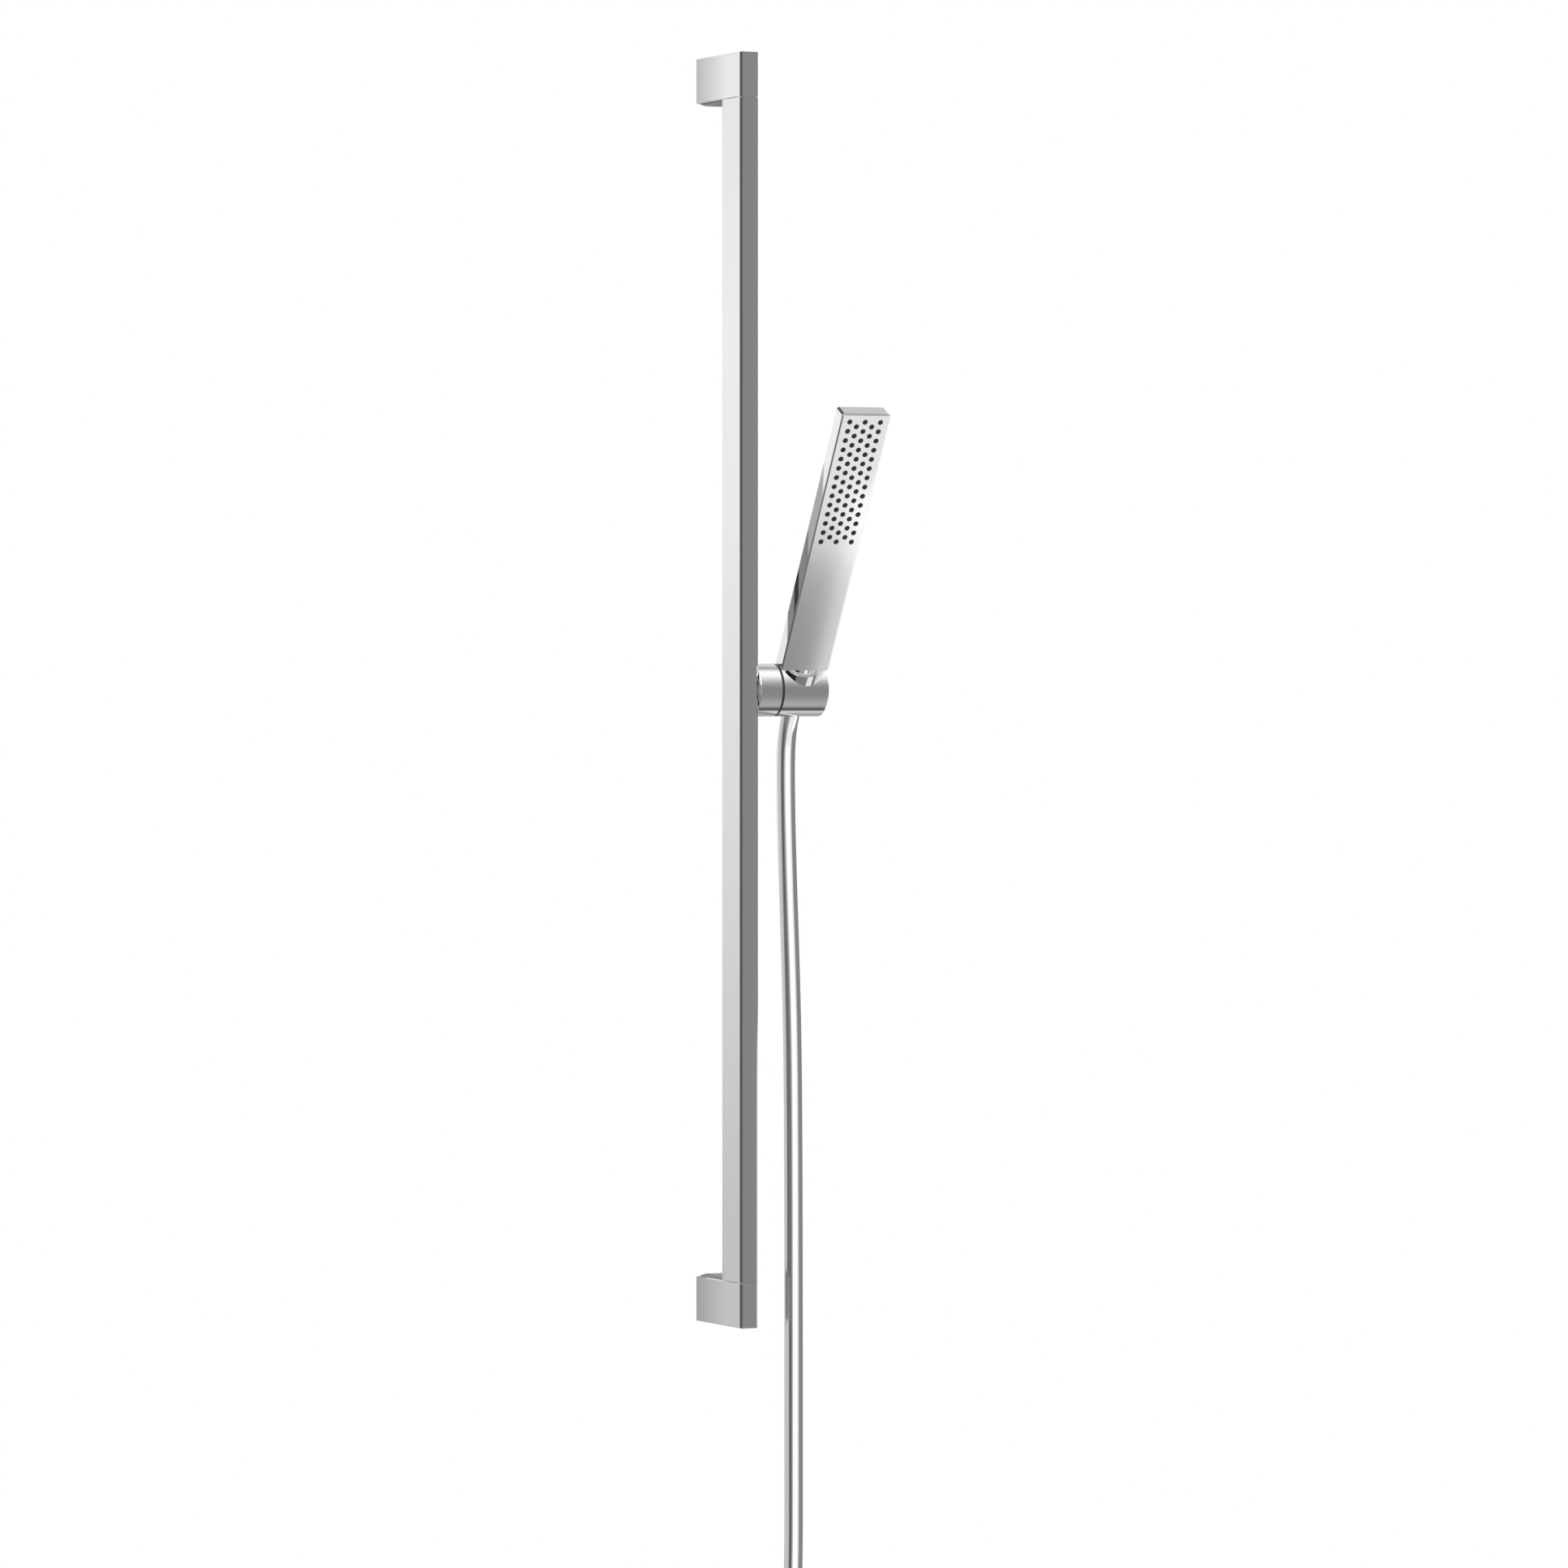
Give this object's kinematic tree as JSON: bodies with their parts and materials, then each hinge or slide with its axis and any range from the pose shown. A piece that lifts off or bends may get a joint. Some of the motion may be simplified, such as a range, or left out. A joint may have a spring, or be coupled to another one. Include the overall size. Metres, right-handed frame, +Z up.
{
  "type": "shower slide rail",
  "caption": "Chromed wall-mounted shower slide rail with a tilting side holder, a flat bar-shaped hand shower and its silver hose.",
  "frame": {"origin": "on the wall, midway between the two wall screws", "axes": "+Z up along the rail, +Y into the wall, +X to the right along the wall as a person facing the wall sees it"},
  "size_m": [0.2198, 0.1877, 1.3308],
  "materials": {
    "polished_aluminium": "polished and chromed",
    "chrome": "polished",
    "chromed_plastic": "chrome plated",
    "steel": "bright zinc",
    "grey_plastic": "moulded",
    "dark_plastic": "moulded",
    "dark_rubber": "soft silicone",
    "brass": "turned",
    "silver_hose": "smooth, silver under a clear skin"
  },
  "bodies": {
    "rail": {"rail_bar": "polished_aluminium", "upper_bracket": "chrome", "upper_wall_plate": "steel", "upper_grub_screw": "steel", "upper_bracket_cover": "grey_plastic", "upper_bar_insert": "dark_plastic", "upper_insert_screw": "steel", "lower_bracket": "chrome", "lower_wall_plate": "steel", "lower_grub_screw": "steel", "lower_bracket_cover": "grey_plastic", "lower_bar_insert": "dark_plastic", "lower_insert_screw": "steel"},
    "slider": {"slider_runner": "dark_plastic", "brake_spring": "steel", "slider_carrier": "dark_plastic", "upper_carrier_screw": "steel", "lower_carrier_screw": "steel", "slider_drum": "chrome", "retaining_clip": "steel", "joint_ring": "dark_plastic", "friction_disc": "dark_plastic", "spring_washer": "steel", "hose_tube": "silver_hose", "hose_coil": "silver_hose", "hose_tie": "dark_rubber", "hose_supply_sleeve": "brass", "hose_supply_nut": "chrome", "hose_supply_gasket": "dark_rubber"},
    "holder": {"tilt_screw": "steel", "holder": "chrome", "holder_liner": "grey_plastic", "cone_nut": "chrome", "hose_top_sleeve": "brass", "hose_top_gasket": "dark_rubber", "handset_inlet": "brass", "inlet_filter": "grey_plastic", "handset_body": "chromed_plastic", "spray_face": "chromed_plastic", "nozzle_mat": "dark_rubber", "water_tray": "grey_plastic"}
  },
  "joints": [
    {"name": "rail_slide", "type": "slide", "parent": "rail", "child": "slider", "axis": [0, 0, 1], "range_m": [-0.418, 0.418]},
    {"name": "holder_tilt", "type": "hinge", "parent": "slider", "child": "holder", "pos_m": [0.0464, -0.0635, 0], "axis": [1, 0, 0], "range_deg": [-30, 30], "deforming": ["hose_tube"]}
  ]
}
